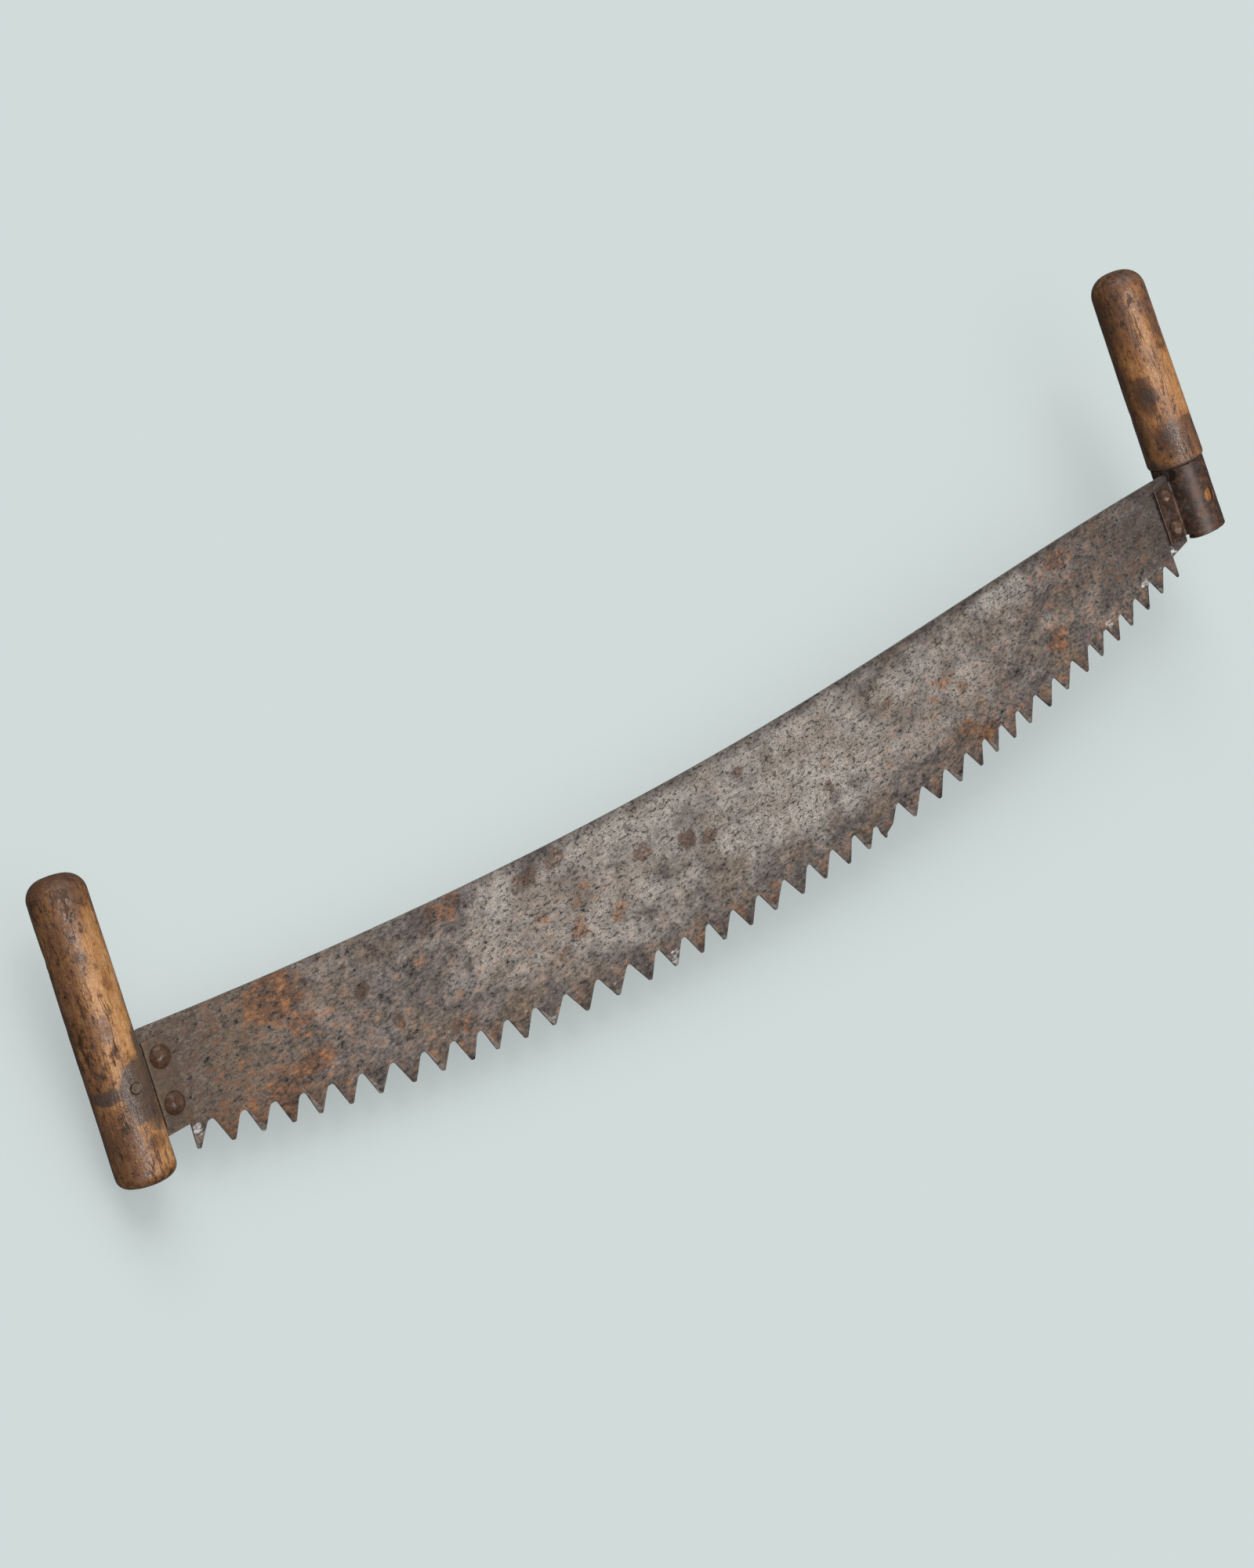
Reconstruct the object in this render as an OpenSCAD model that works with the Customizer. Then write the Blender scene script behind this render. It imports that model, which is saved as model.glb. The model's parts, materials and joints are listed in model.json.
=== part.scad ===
// Two man crosscut saw: a bellied steel blade with a wooden handle at each end.
// It lies on its side: X along the blade, Y towards the handle tops, Z out of the blade's front face.

/* [Blade] */
// Thickness of the blade plate
blade_t = 2; // [1.4:0.1:3]
// Height of the back's lowest point above the lowest tooth tip
blade_depth = 117.8; // [100:0.2:132]
// Rise of the tooth line from the middle to the ends of the row
belly_sag = 61.2; // [40:0.2:66]
// How far right of the middle the belly is deepest
belly_shift = 26.6; // [-40:0.2:40]
// How far left of the middle the back is lowest
back_shift = 3; // [-40:1:40]
// How far above the cheek plates the back ends on the left
back_over_plates = 7.6; // [4.5:0.1:16]
// How far below the tube's top the back ends on the right
back_under_tube = 3.2; // [1:0.1:6]
// Slope of the back where it reaches the left end, in degrees
back_slope_left = 6.8; // [0:0.1:8]
// Slope of the back where it reaches the right end, in degrees
back_slope_right = 0; // [0:0.1:3]
// Radius of the blade's two end corners on the back
back_corner_r = 4; // [1:0.5:6]
// Radius of the blade's two end corners beside the teeth
tab_corner_r = 2; // [0.5:0.5:4]
// How far below the cheek plates the blade's left end reaches
left_tab_drop = 5.2; // [2:0.2:6]
// How far below the ears the blade's right end reaches
right_tab_drop = 5.4; // [3:0.2:8]

/* [Teeth] */
// Mean spacing of the teeth
tooth_pitch = 24.3; // [18:0.1:34]
// How much wider than the mean the middle teeth are spaced
pitch_swell = 1.8; // [0:0.1:3]
// How uneven the hand-filed spacing is
wander = 1; // [0:0.1:1.2]
// Height of a tooth, from tip to gullet
tooth_h = 15.8; // [10:0.2:18]
// Radius of the gullet between two teeth
gullet_r = 4; // [1.5:0.1:4.5]
// Width of a tooth's blunt tip
tip_w = 2.6; // [1:0.1:4]
// Radius of the worn corners of a tip
tip_round = 1.2; // [0.2:0.1:2]
// How much shorter than half the handles' distance half the tooth row is
row_margin = 43.1; // [42:0.1:70]
// How far left of the middle the tooth row sits
row_shift = 2.9; // [-4:0.1:4]
// How far the teeth point straight down, from square to the tooth line (0) to upright (1)
tooth_upright = 0.55; // [0:0.05:1]
// Run of the steep outer flank of the first and last tooth
end_flank_run = 4; // [2:0.5:6]
// Width of the filed bevel along each flank
bevel_w = 3.2; // [1:0.1:4]
// Thickness of steel left under the bevel at the flank
bevel_land = 0.5; // [0.2:0.1:1]
// How much of a flank, from the tip, the bevel takes before it has run out
bevel_part = 0.74; // [0.3:0.02:0.76]
// Which tooth is chipped, counted from the left
chipped_tooth = 26; // [2:1:40]

/* [Handles] */
// Distance between the two handle axes, measured along the lowest tooth tip
handle_span = 1089.4; // [900:0.2:1500]
// Inward lean of both handles, in degrees
handle_lean = 3.8; // [0:0.1:6]

/* [Left handle] */
// Height of the left handle's foot above the lowest tooth tip
left_foot = 67.2; // [40:0.2:70]
// Length of the left handle
left_len = 184.5; // [150:0.5:260]
// Radius of the left handle where the blade enters
left_r = 18.5; // [16:0.1:24]
// Radius of the left handle below its rounded top
left_top_r = 17.8; // [15:0.1:24]
// Rounding of the left handle's foot
left_foot_round = 7; // [3:0.5:12]
// Rounding of the left handle's top
left_top_round = 12; // [3:0.5:14]
// Height of the blade's tang in the left handle
tang_h = 40; // [24:1:46]
// How far the tang runs past the left handle's axis
tang_past = 8; // [5:0.5:11]
// Radius of the iron pin through handle and tang
pin_r = 3; // [2:0.1:4]
// Height of the pin above the middle of the tang
pin_rise = 7; // [-12:0.5:12]

/* [Left cheek plates] */
// Width of a cheek plate along the blade
plate_w = 18.4; // [14:0.2:26]
// Height of a cheek plate
plate_h = 52.4; // [44:0.2:56]
// Thickness of a cheek plate
plate_t = 2.5; // [1.5:0.1:4]
// Height of the cheek plates' middle above the lowest tooth tip
plate_mid = 117.4; // [114:0.2:120]
// Bare blade between the left handle and the cheek plates
plate_gap = 1.4; // [0.5:0.1:4]
// Distance between the two left rivets
left_rivet_step = 28.4; // [22:0.2:34]

/* [Right socket] */
// Outer radius of the socket's tube
tube_r = 21.2; // [19:0.1:26]
// Thickness of the socket's folded sheet
sheet_t = 2.5; // [1.5:0.1:3.5]
// Height of the tube
tube_h = 58.8; // [52:0.2:70]
// Height of the tube's middle above the lowest tooth tip
tube_mid = 107.1; // [105:0.1:110]
// Width of an ear's flat, from the fold to the free edge
ear_w = 19; // [15:0.2:24]
// Height of the ears
ear_h = 45.6; // [40:0.2:50]
// How far below the tube's middle the ears' middle lies
ear_drop = 2.2; // [0:0.1:3]
// Outer radius of the fold between ear and tube
fold_r = 1.5; // [0.5:0.1:4]
// Bare ear between the fold and a rivet's head
rivet_gap = 0.2; // [0.2:0.1:1.5]
// Distance between the two right rivets
right_rivet_step = 26; // [20:0.2:30]
// Radius of the empty cross hole in the tube's front wall
cross_hole_r = 5.5; // [3:0.1:8]
// How far below the tube's middle the cross hole lies
cross_hole_drop = 1.2; // [-4:0.1:4]

/* [Right grip] */
// Length of the grip above its shoulder
grip_len = 157; // [120:1:220]
// Radius of the grip just above its shoulder
grip_r = 22.8; // [20:0.1:28]
// Radius of the grip below its rounded top
grip_top_r = 21.4; // [18:0.1:28]
// Rounding of the shoulder's edge
shoulder_round = 2.6; // [0.5:0.1:3]
// Rounding of the grip's top
grip_top_round = 16; // [4:0.5:17]
// Bare tube below the end of the tenon
tenon_short = 4; // [1:0.5:12]

/* [Rivets] */
// Radius of a rivet's shank
shank_r = 3.2; // [2:0.1:4]
// Radius of a rivet's head
head_r = 7.5; // [4:0.1:8]
// Height of a rivet's domed head
head_h = 5.3; // [2:0.1:6.5]
// Height of the peened tail on the back
tail_h = 3; // [1.5:0.1:5]

/* [Clearances] */
// Between a rivet or pin and its hole, all round
hole_clear = 0.1; // [0.05:0.05:0.3]
// Between the tang and the mortise, on each side
mortise_clear = 0.5; // [0.2:0.1:1]
// Between the tenon and the tube, all round
tenon_clear = 0.3; // [0.2:0.05:0.6]
// Between the blade's ends and the wood they face
end_gap = 0.4; // [0.3:0.1:1]
// How far the pin's ends lie below the wood
pin_sink = 0.4; // [0.2:0.1:1]

/* [Hidden] */
$fn = 96;
arc_steps = 8;
tip_steps = 3;
back_steps = 18;
cut = 1;
half_t = blade_t / 2;

// Tooth row: a run is a length along the tooth line, from the middle of the row
row_half = handle_span / 2 - row_margin;
tooth_n = 1 + round(2 * row_half / tooth_pitch);
gaps = tooth_n - 1;
mean_pitch = 2 * row_half / gaps;
belly_r = (row_half * row_half + belly_sag * belly_sag) / (2 * belly_sag);

// The spacing's unevenness, as waves of [length, teeth in one wave, start in degrees]
waves = [[2.6, 6.7, 2], [2.4, 11.4, -70], [2, 28.6, -161]];

// What is left of the chipped tooth, as parts of the pitch and the height, from its old tip
chip = [[-0.43, 0.32], [-0.31, 0], [-0.23, 0.19], [0.1, 0.39]];

// Blade ends and hardware, as distances from a handle's axis and heights along it
shoulder_reach = left_r + end_gap;
tenon_r = tube_r - sheet_t - tenon_clear;
blade_end_reach = tenon_r + end_gap;
ear_mid = tube_mid - ear_drop;
left_tab = plate_mid - plate_h / 2 - left_tab_drop;
right_tab = ear_mid - ear_h / 2 - right_tab_drop;
pin_up = plate_mid + pin_rise;
plate_left = shoulder_reach + plate_gap;
left_rivet_reach = plate_left + plate_w / 2;
tube_foot = tube_mid - tube_h / 2;
tube_top = tube_foot + tube_h;
ear_out = half_t + sheet_t;
fold_n = ear_out + fold_r;
fold_u = sqrt(pow(tube_r + fold_r, 2) - fold_n * fold_n);
ear_reach = fold_u + ear_w;
right_rivet_reach = fold_u + head_r + rivet_gap;
notch_u = tube_r - sheet_t;
grip_top = tube_top + grip_len;
tenon_len = tube_h - tenon_short;

// The frame's origin: middle of the footprint, on the surface that the saw lies on
lean_sin = sin(handle_lean);
lean_cos = cos(handle_lean);
low_x = -handle_span / 2 + (left_foot + left_foot_round) * lean_sin
    - (left_r - left_foot_round) * lean_cos - left_foot_round;
high_x = handle_span / 2 - tube_foot * lean_sin + tube_r * lean_cos;
high_y = (grip_top - grip_top_round) * lean_cos + (grip_top_r - grip_top_round) * lean_sin
    + grip_top_round;
mid_x = (low_x + high_x) / 2;
mid_y = high_y / 2;
rest_z = max(grip_r, tube_r, left_r);

// Points and outlines
function unit(v) = v / norm(v);

// The arc that rounds corner p between its neighbours a and b, with few steps on a tooth's small tip
function corner_arc(a, p, b, r) = let (
        steps = r > tip_round ? arc_steps : tip_steps,
        to_a = unit(a - p),
        to_b = unit(b - p),
        half = acos(to_a * to_b) / 2,
        centre = p + unit(to_a + to_b) * r / sin(half),
        from = unit(p + to_a * r / tan(half) - centre),
        to = unit(p + to_b * r / tan(half) - centre)
    ) [for (k = [0:steps]) centre + r * unit(from * (steps - k) + to * k)];

// An outline from corners given as [point, radius]
function rounded(corners) = let (n = len(corners)) [
    for (i = [0:n - 1]) each corners[i][1] > 0
        ? corner_arc(corners[(i + n - 1) % n][0], corners[i][0], corners[(i + 1) % n][0], corners[i][1])
        : [corners[i][0]]
];

// A point of the blade, by run along the tooth line from the middle and depth behind the tips
function belly(run, depth) = let (turn = belly_turn(run))
    [belly_shift + (belly_r - depth) * sin(turn), belly_r - (belly_r - depth) * cos(turn)];
function belly_turn(run) = (run - belly_shift) / belly_r * 180 / PI;

// Run of tooth i, spaced wider in the middle of the row and a little uneven
function sum(values, i = 0) = i < len(values) ? values[i] + sum(values, i + 1) : 0;
function tooth_run(i) = let (k = i - gaps / 2)
    (mean_pitch + pitch_swell) * k - pitch_swell * k * pow(2 * k / gaps, 2) - row_shift
    + wander * sum([for (w = waves) w[0] * sin(360 * i / w[1] + w[2])]);

// Run and depth of the sharp corner under the gullet after tooth i
function gullet_run(i) = let (mid = (tooth_run(i) + tooth_run(i + 1)) / 2)
    mid + tooth_upright * tooth_h * tan(belly_turn(mid));
function gullet_deep(i) = let (
        half_w = (tooth_run(i + 1) - tooth_run(i) - tip_w) / 2,
        lean = atan(half_w / (tooth_h + gullet_r))
    ) tooth_h + gullet_r * (1 / sin(lean) - 1);

// Handle coordinates, out from the axis and up along it, in the blade's plane
function by_left(out, up) =
    [-handle_span / 2 + out * lean_cos + up * lean_sin, up * lean_cos - out * lean_sin];
function by_right(out, up) =
    [handle_span / 2 + out * lean_cos - up * lean_sin, up * lean_cos + out * lean_sin];

// A smooth curve between two points with given slopes, without its last point
function ease(a, b, slope_a, slope_b) = let (run = b[0] - a[0]) [
    for (k = [0:back_steps - 1]) let (t = k / back_steps, s = 1 - t)
        [a[0] + t * run, s * s * (1 + 2 * t) * a[1] + t * t * (3 - 2 * t) * b[1]
            + run * t * s * (s * slope_a - t * slope_b)]
];

// Where the back is lowest and where it meets the blade's ends
back_low = [-back_shift, blade_depth];
back_left = by_left(shoulder_reach, plate_mid + plate_h / 2 + back_over_plates);
back_right = by_right(-blade_end_reach, tube_top - back_under_tube);

function plain(points) = [for (p = points) [p, 0]];
function past_first(points) = [for (i = [1:len(points) - 1]) points[i]];

function tooth_tip(i) = i == chipped_tooth - 1
    ? plain([for (c = chip) belly(tooth_run(i) + c[0] * mean_pitch, c[1] * tooth_h)])
    : [for (side = [-1, 1]) [belly(tooth_run(i) + side * tip_w / 2, 0), min(tip_round, tip_w / 2)]];

// The blade's outline, anticlockwise from the tang along the teeth and home along the back
blade_corners = concat(
    plain([by_left(-tang_past, plate_mid - tang_h / 2), by_left(shoulder_reach, plate_mid - tang_h / 2)]),
    [[by_left(shoulder_reach, left_tab), tab_corner_r]],
    plain([belly(tooth_run(0) - end_flank_run, tooth_h)]),
    [for (i = [0:gaps]) each concat(tooth_tip(i), i < gaps
        ? [[belly(gullet_run(i), gullet_deep(i)), gullet_r]]
        : [])],
    plain([belly(tooth_run(gaps) + end_flank_run, tooth_h)]),
    [[by_right(-blade_end_reach, right_tab), tab_corner_r], [back_right, back_corner_r]],
    plain(past_first(ease(back_right, back_low, tan(back_slope_right), 0))),
    plain(ease(back_low, back_left, 0, -tan(back_slope_left))),
    [[back_left, back_corner_r]],
    plain([by_left(shoulder_reach, plate_mid + tang_h / 2), by_left(-tang_past, plate_mid + tang_h / 2)])
);

// Placing
module in_frame() {
    translate([-mid_x, -mid_y, rest_z]) children();
}

module at_left() {
    in_frame() translate([-handle_span / 2, 0, 0]) rotate([0, 0, -handle_lean]) children();
}

module at_right() {
    in_frame() translate([handle_span / 2, 0, 0]) rotate([0, 0, handle_lean]) children();
}

// Stands a shape that was drawn up along Z on a handle's axis
module up_handle(height) {
    translate([0, height, 0]) rotate([-90, 0, 0]) children();
}

// A hole or pin across the blade
module across(out, up, r, long) {
    translate([out, up, -long / 2]) cylinder(r = r, h = long);
}

// A turned piece of wood, tapered, with a rounded foot and top
module turned(foot_r, top_r, long, foot_round, top_round) {
    rotate_extrude() polygon(rounded([
        [[0, 0], 0], [[foot_r, 0], foot_round], [[top_r, long], top_round], [[0, long], 0]
    ]));
}

// A domed rivet through a stack of the given half thickness
module rivet(out, up, half_stack) {
    color("#4a382e") translate([out, up, 0]) {
        cylinder(r = shank_r, h = 2 * half_stack, center = true);
        translate([0, 0, half_stack]) dome(head_h);
        translate([0, 0, -half_stack]) mirror([0, 0, 1]) dome(tail_h);
    }
}

module dome(height) {
    ball_r = (head_r * head_r + height * height) / (2 * height);
    intersection() {
        translate([0, 0, height - ball_r]) sphere(r = ball_r);
        cylinder(r = head_r + cut, h = height + cut);
    }
}

// The bevel filed along a flank from its tip corner, on the front face (side 1) or the back (side -1).
// It is deepest at the tip and has run out to the face before the gullet.
module bevel(tip, root, inward, side) {
    run = root - tip;
    depth = blade_t - bevel_land;
    rise = depth / bevel_w;
    translate([tip[0], tip[1], 0])
        rotate([0, 0, atan2(run[1], run[0])])
            facing(inward, side)
                translate([0, 0, bevel_land - half_t])
                    rotate([0, -atan(depth / (norm(run) * bevel_part)), 0])
                        translate([-tip_w, 0, 0]) rotate([90, 0, 90]) linear_extrude(norm(run) + tip_w)
                            polygon([[-cut, -rise * cut], [-cut, depth + blade_t],
                                [(depth + blade_t) / rise, depth + blade_t]]);
}

// Turns a bevel towards the tooth's middle and the chosen face
module facing(inward, side) {
    mirror([0, inward < 0 ? 1 : 0, 0]) mirror([0, 0, side < 0 ? 1 : 0]) children();
}

// Sub-parts
module blade() {
    color("#7d756e") difference() {
        in_frame() translate([0, 0, -half_t]) linear_extrude(blade_t) polygon(rounded(blade_corners));
        in_frame() for (i = [0:gaps]) if (i != chipped_tooth - 1) {
            side = i % 2 == 0 ? 1 : -1;
            left_root = i > 0 ? belly(gullet_run(i - 1), gullet_deep(i - 1))
                : belly(tooth_run(0) - end_flank_run, tooth_h);
            right_root = i < gaps ? belly(gullet_run(i), gullet_deep(i))
                : belly(tooth_run(gaps) + end_flank_run, tooth_h);
            bevel(belly(tooth_run(i) - tip_w / 2, 0), left_root, -1, side);
            bevel(belly(tooth_run(i) + tip_w / 2, 0), right_root, 1, side);
        }
        at_left() across(0, pin_up, pin_r + hole_clear, 2 * blade_t);
        at_left() left_rivet_holes(2 * blade_t);
        at_right() right_rivet_holes(2 * blade_t);
    }
}

module left_rivet_holes(long) {
    for (side = [-1, 1])
        across(left_rivet_reach, plate_mid + side * left_rivet_step / 2, shank_r + hole_clear, long);
}

module right_rivet_holes(long) {
    for (side = [-1, 1])
        across(-right_rivet_reach, ear_mid + side * right_rivet_step / 2, shank_r + hole_clear, long);
}

module left_handle() {
    mortise_h = tang_h + 2 * mortise_clear;
    mortise_t = blade_t + 2 * mortise_clear;
    color("#8a5a30") at_left() difference() {
        up_handle(left_foot) turned(left_r, left_top_r, left_len, left_foot_round, left_top_round);
        translate([-tang_past - mortise_clear, plate_mid - mortise_h / 2, -mortise_t / 2])
            cube([tang_past + mortise_clear + left_r + cut, mortise_h, mortise_t]);
        across(0, pin_up, pin_r + hole_clear, 2 * left_r + 2 * cut);
    }
}

module left_handle_pin() {
    wood_r = left_r + (left_top_r - left_r) * (pin_up - left_foot) / left_len;
    color("#2f2a28") at_left() across(0, pin_up, pin_r, 2 * (wood_r - pin_sink));
}

module cheek_plate(bottom) {
    color("#5a4438") at_left() difference() {
        translate([plate_left, plate_mid - plate_h / 2, bottom]) cube([plate_w, plate_h, plate_t]);
        left_rivet_holes(2 * (half_t + plate_t) + 2 * cut);
    }
}

module left_front_plate() {
    cheek_plate(half_t);
}

module left_back_plate() {
    cheek_plate(-half_t - plate_t);
}

module left_rivet(side) {
    at_left() rivet(left_rivet_reach, plate_mid + side * left_rivet_step / 2, half_t + plate_t);
}

module left_upper_rivet() {
    left_rivet(1);
}

module left_lower_rivet() {
    left_rivet(-1);
}

// Half of the folded sheet's section: tube, fold and ear, above the blade's plane
module half_section() {
    far = 2 * ear_reach;
    mouth = [[0, 0], [-fold_u, fold_n], [-fold_u, 0]];
    difference() {
        circle(r = tube_r);
        circle(r = tube_r - sheet_t);
        polygon(mouth);
        translate([-far, -far]) square([2 * far, far]);
    }
    intersection() {
        translate([-fold_u, fold_n]) difference() {
            circle(r = fold_r + sheet_t);
            circle(r = fold_r);
        }
        polygon(mouth);
    }
    translate([-ear_reach, half_t]) square([ear_reach - fold_u, sheet_t]);
}

module right_socket() {
    far = 2 * ear_reach;
    color("#4d3a30") at_right() difference() {
        up_handle(tube_foot) linear_extrude(tube_h) {
            half_section();
            mirror([0, 1]) half_section();
        }
        for (side = [-1, 1])
            translate([-far - notch_u, ear_mid + side * (ear_h + tube_h) / 2 - tube_h / 2, -far / 2])
                cube([far, tube_h, far]);
        right_rivet_holes(2 * ear_out + 2 * cut);
        translate([0, tube_mid - cross_hole_drop, 0]) cylinder(r = cross_hole_r, h = tube_r + cut);
    }
}

module right_rivet(side) {
    at_right() rivet(-right_rivet_reach, ear_mid + side * right_rivet_step / 2, ear_out);
}

module right_upper_rivet() {
    right_rivet(1);
}

module right_lower_rivet() {
    right_rivet(-1);
}

module right_grip() {
    color("#6e4526") at_right() {
        up_handle(tube_top) turned(grip_r, grip_top_r, grip_len, shoulder_round, grip_top_round);
        up_handle(tube_top - tenon_len) cylinder(r = tenon_r, h = tenon_len);
    }
}

blade();
left_handle();
left_handle_pin();
left_front_plate();
left_back_plate();
left_upper_rivet();
left_lower_rivet();
right_socket();
right_upper_rivet();
right_lower_rivet();
right_grip();
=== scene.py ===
"""Two man crosscut saw: worn wood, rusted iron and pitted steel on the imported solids."""

import functools
import json
import math
import random
from typing import NamedTuple

import bmesh
import bpy
import numpy as np
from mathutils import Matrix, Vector, noise

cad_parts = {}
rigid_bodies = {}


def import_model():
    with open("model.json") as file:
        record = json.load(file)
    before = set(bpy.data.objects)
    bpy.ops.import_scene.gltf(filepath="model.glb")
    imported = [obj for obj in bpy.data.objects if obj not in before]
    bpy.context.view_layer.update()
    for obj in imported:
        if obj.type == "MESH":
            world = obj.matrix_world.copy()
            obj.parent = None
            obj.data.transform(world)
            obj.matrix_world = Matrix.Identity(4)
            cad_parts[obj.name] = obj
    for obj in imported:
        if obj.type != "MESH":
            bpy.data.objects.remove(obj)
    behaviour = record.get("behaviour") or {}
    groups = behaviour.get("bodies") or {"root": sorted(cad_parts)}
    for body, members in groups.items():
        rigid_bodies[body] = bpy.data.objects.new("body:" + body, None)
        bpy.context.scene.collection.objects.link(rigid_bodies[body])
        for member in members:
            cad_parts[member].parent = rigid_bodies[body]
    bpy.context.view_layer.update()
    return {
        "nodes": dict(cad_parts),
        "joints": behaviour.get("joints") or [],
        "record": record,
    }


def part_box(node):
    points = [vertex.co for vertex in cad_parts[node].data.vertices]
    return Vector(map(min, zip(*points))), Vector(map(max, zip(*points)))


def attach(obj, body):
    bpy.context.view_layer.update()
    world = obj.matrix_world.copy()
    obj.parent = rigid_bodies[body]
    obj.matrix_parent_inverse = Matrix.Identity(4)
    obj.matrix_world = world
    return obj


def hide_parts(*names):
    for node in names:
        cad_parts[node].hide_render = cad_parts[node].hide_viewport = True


bl_info = {
    "name": "Two man crosscut saw",
    "version": (1, 0, 0),
    "blender": (4, 5, 0),
    "location": "View3D > Sidebar > Crosscut saw",
    "description": "Dresses the saw's solids with worn copies, procedural finishes and a stage",
    "category": "Object",
}

for startup_object in list(bpy.data.objects):
    bpy.data.objects.remove(startup_object)
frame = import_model()

MM = 0.001
NOISE_MIDDLE = 0.5
EVEN = (1.0, 1.0, 1.0)  # a noise that is as long as it is wide
FOOT = frame["record"]["mounts"][0]
BAR_FOOT = Vector(FOOT["pos_m"])
BAR_UP = -Vector(FOOT["axis"])
GRIP_UP = Vector(frame["joints"][0]["axis"])


# ---------------------------------------------------------------- places on the saw


def node_points(node):
    """The corners of a CAD node's mesh, in metres."""
    mesh = frame["nodes"][node].data
    points = np.empty(len(mesh.vertices) * 3)
    mesh.vertices.foreach_get("co", points)
    return points.reshape(-1, 3)


def grip_shoulder():
    """The point on the grip's axis level with the top of the socket."""
    ring_depth = 0.1 * MM
    points = node_points("right_grip")
    along = points @ np.array(GRIP_UP)
    top_ring = points[along > along.max() - ring_depth]
    socket_top = (node_points("right_socket") @ np.array(GRIP_UP)).max()
    on_axis = Vector(top_ring.mean(axis=0))
    return on_axis - GRIP_UP * (on_axis.dot(GRIP_UP) - socket_top)


def axis_turn(up):
    """The turn about Z, in radians, that lays the Y axis along `up`."""
    return math.atan2(-up.x, up.y)


def blade_edges():
    """Quartics in millimetres for the blade's back and for the line of its tooth tips."""
    reach, lowest_back, strip_width, degree = 480.0, -32.0, 30.0, 4
    points = node_points("blade") / MM
    middle = points[np.abs(points[:, 0]) < reach]
    back = middle[middle[:, 1] > lowest_back]
    tips = []
    for start in np.arange(-reach, reach, strip_width):
        inside = (middle[:, 0] >= start) & (middle[:, 0] < start + strip_width)
        strip = middle[inside]
        tips.append(strip[strip[:, 1].argmin()])
    return tuple(np.polyfit(line[:, 0], line[:, 1], degree) for line in (back, np.array(tips)))


# ---------------------------------------------------------------- shader building


class Tone:
    """One socket of a node tree, so that shader maths can be written as plain expressions."""

    def __init__(self, nodes, socket):
        self.nodes = nodes
        self.socket = socket

    def _math(self, operation, first, second=0.0):
        return self.nodes.node("ShaderNodeMath", {"operation": operation}, {0: first, 1: second})

    def __add__(self, other):
        return self._math("ADD", self, other)

    def __radd__(self, other):
        return self._math("ADD", other, self)

    def __sub__(self, other):
        return self._math("SUBTRACT", self, other)

    def __rsub__(self, other):
        return self._math("SUBTRACT", other, self)

    def __mul__(self, other):
        return self._math("MULTIPLY", self, other)

    def __rmul__(self, other):
        return self._math("MULTIPLY", other, self)

    def __abs__(self):
        return self._math("ABSOLUTE", self)

    def __gt__(self, other):
        return self._math("GREATER_THAN", self, other)

    def higher(self, other):
        """The larger of two values."""
        return self._math("MAXIMUM", self, other)

    def band(self, start, end, low=0.0, high=1.0):
        """Eases from `low` at `start` to `high` at `end`, and stays there."""
        settings = {"interpolation_type": "SMOOTHSTEP", "clamp": True}
        sockets = {"Value": self, "From Min": start, "From Max": end}
        sockets.update({"To Min": low, "To Max": high})
        return self.nodes.node("ShaderNodeMapRange", settings, sockets)

    def swing(self, weight):
        """Noise of 0 to 1 as a push of up to half of `weight` either way."""
        return (self - NOISE_MIDDLE) * weight

    def vein(self, width):
        """1 on the lines where noise passes its middle, and 0 at `width` from it."""
        return abs(self - NOISE_MIDDLE).band(width, 0.0)


class NodeTree:
    """Makes and links the nodes of one material or world."""

    # A Mix node has sockets for each kind of value. These are the ones for colours.
    MIX_SHARE, MIX_FIRST, MIX_SECOND, MIX_RESULT = 0, 6, 7, 2

    def __init__(self, tree):
        self.tree = tree

    def node(self, kind, settings, sockets, out=0):
        """Adds a node, sets its settings, then fills or links its sockets."""
        made = self.tree.nodes.new(kind)
        for name, value in settings.items():
            setattr(made, name, value)
        for key, value in sockets.items():
            socket = made.inputs[key]
            if isinstance(value, Tone):
                self.tree.links.new(value.socket, socket)
            elif socket.type == "RGBA":
                socket.default_value = (*value, 1.0)
            else:
                socket.default_value = value
        return Tone(self, made.outputs[out])

    def vector(self, operation, *values):
        """Vector Math on two or three vectors."""
        out = "Value" if operation == "DOT_PRODUCT" else "Vector"
        settings = {"operation": operation}
        return self.node("ShaderNodeVectorMath", settings, dict(enumerate(values)), out)

    def mix(self, share, first, second, blend="MIX"):
        """A colour `share` of the way from the first to the second."""
        settings = {"data_type": "RGBA", "blend_type": blend}
        sockets = {self.MIX_SHARE: share, self.MIX_FIRST: first, self.MIX_SECOND: second}
        return self.node("ShaderNodeMix", settings, sockets, self.MIX_RESULT)


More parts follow.
